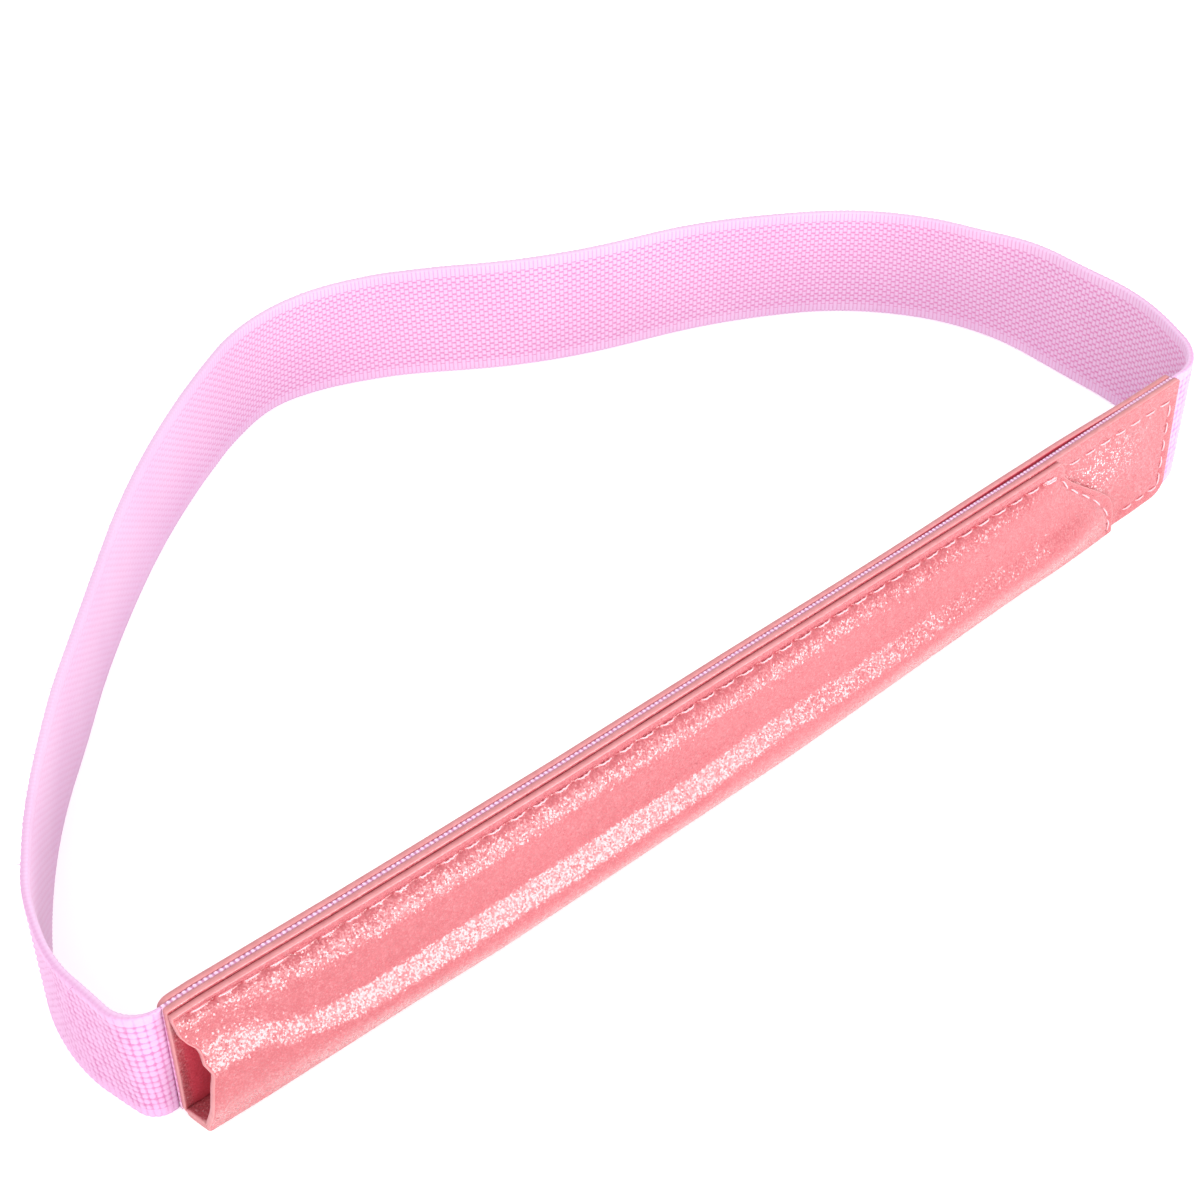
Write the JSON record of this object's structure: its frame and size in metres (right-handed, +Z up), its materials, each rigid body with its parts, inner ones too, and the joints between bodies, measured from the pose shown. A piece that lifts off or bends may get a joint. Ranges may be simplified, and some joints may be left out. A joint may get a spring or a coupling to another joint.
{
  "type": "pen sleeve with elastic band",
  "caption": "Shimmer leather pen sleeve sewn onto a woven elastic loop, open at one end and stitched shut at the other, worn around a notebook or tablet.",
  "frame": {"origin": "middle of the footprint of the whole loop, on the surface that its lower edges stand on", "axes": "+X along the sleeve from its open mouth to its stitched tab, +Y from the sleeve into the elastic loop, +Z up across the width of the band"},
  "size_m": [0.1836, 0.1078, 0.02],
  "materials": {
    "shimmer_leather": "smooth coated leather with a pearl shimmer",
    "woven_elastic": "matte woven elastic with bead-like ribs",
    "seam_thread": "satin sewing thread"
  },
  "bodies": {
    "sleeve": {"back_strip": "shimmer_leather", "base_panel": "shimmer_leather", "pocket_panel": "shimmer_leather", "elastic_sewn_run": "woven_elastic", "elastic_mouth_run": "woven_elastic", "elastic_tab_run": "woven_elastic", "top_seam_thread": "seam_thread", "tab_seam_thread": "seam_thread", "bottom_seam_thread": "seam_thread", "pocket_end_thread": "seam_thread"},
    "band": {"elastic_far_run": "woven_elastic"}
  },
  "joints": [
    {"name": "band_stretch", "type": "slide", "parent": "sleeve", "child": "band", "axis": [0, 1, 0], "range_m": [0, 0.06], "stiffness_N_per_m": 120, "deforming": ["elastic_mouth_run", "elastic_tab_run"]}
  ]
}
